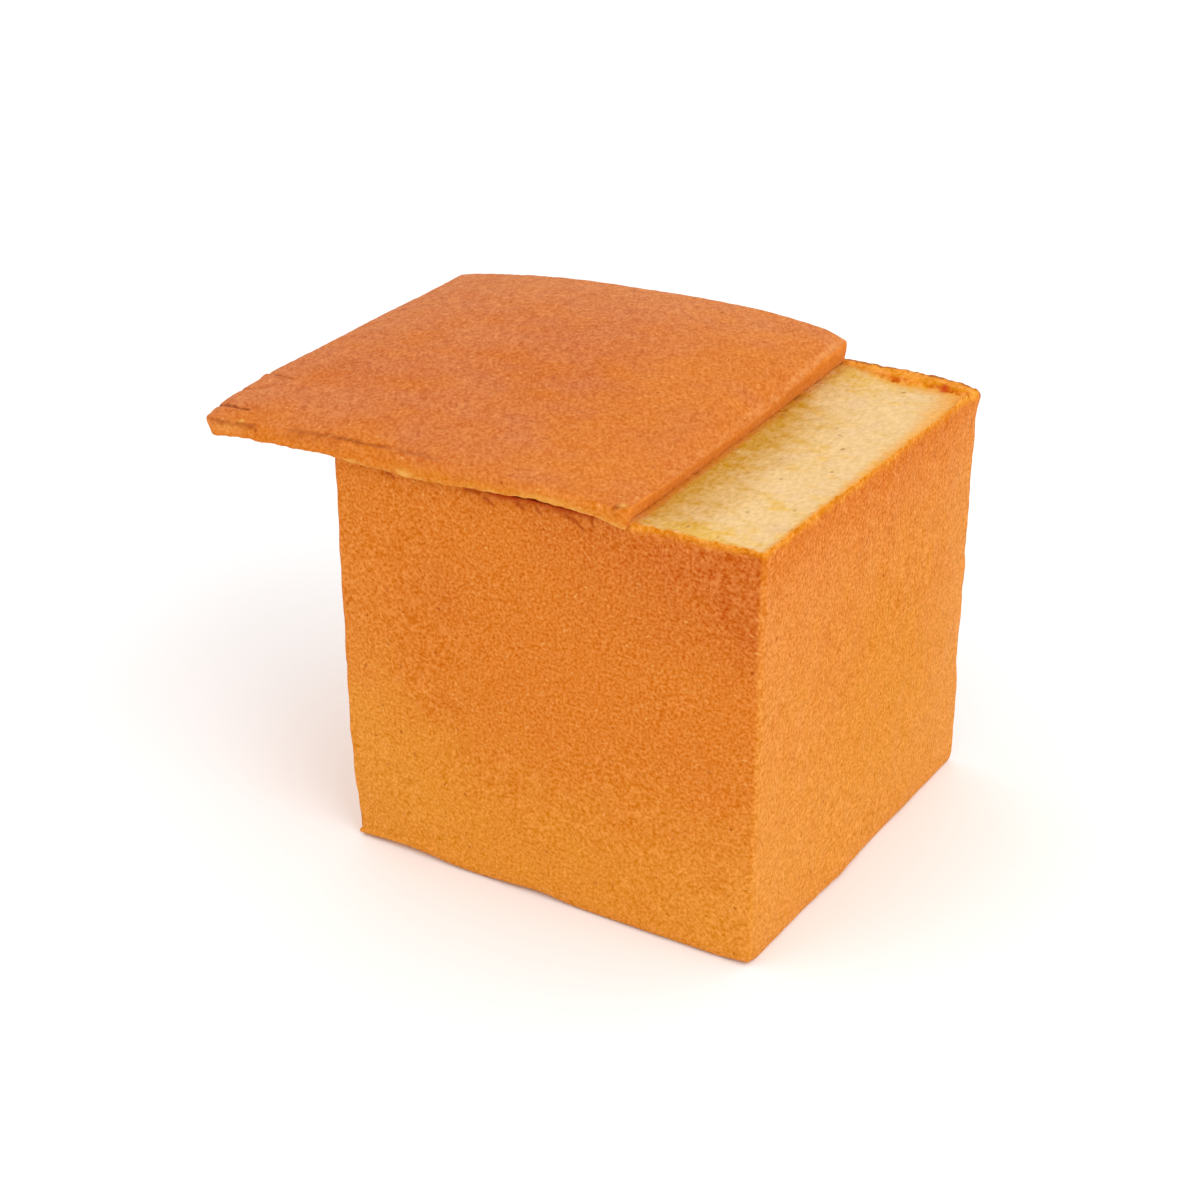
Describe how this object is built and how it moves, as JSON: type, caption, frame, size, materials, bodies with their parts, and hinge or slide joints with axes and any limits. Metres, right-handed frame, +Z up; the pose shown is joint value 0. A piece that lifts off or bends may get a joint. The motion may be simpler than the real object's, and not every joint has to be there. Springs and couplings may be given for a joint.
{
  "type": "tin loaf",
  "caption": "Cube-shaped white loaf baked in a tin, its thin top crust sliced off and slid to one side so that pale crumb shows beside it.",
  "frame": {"origin": "middle of the loaf's flat base, on the surface that it stands on", "axes": "+X to the loaf's right, -Y out of its front wall, +Z up; the slice is slid towards -X"},
  "size_m": [0.1324, 0.104, 0.102],
  "materials": {
    "crust": "dry golden-brown baked crust, finely pitted, without gloss"
  },
  "bodies": {
    "root": {"loaf": "crust", "top_slice": "crust"}
  },
  "joints": []
}
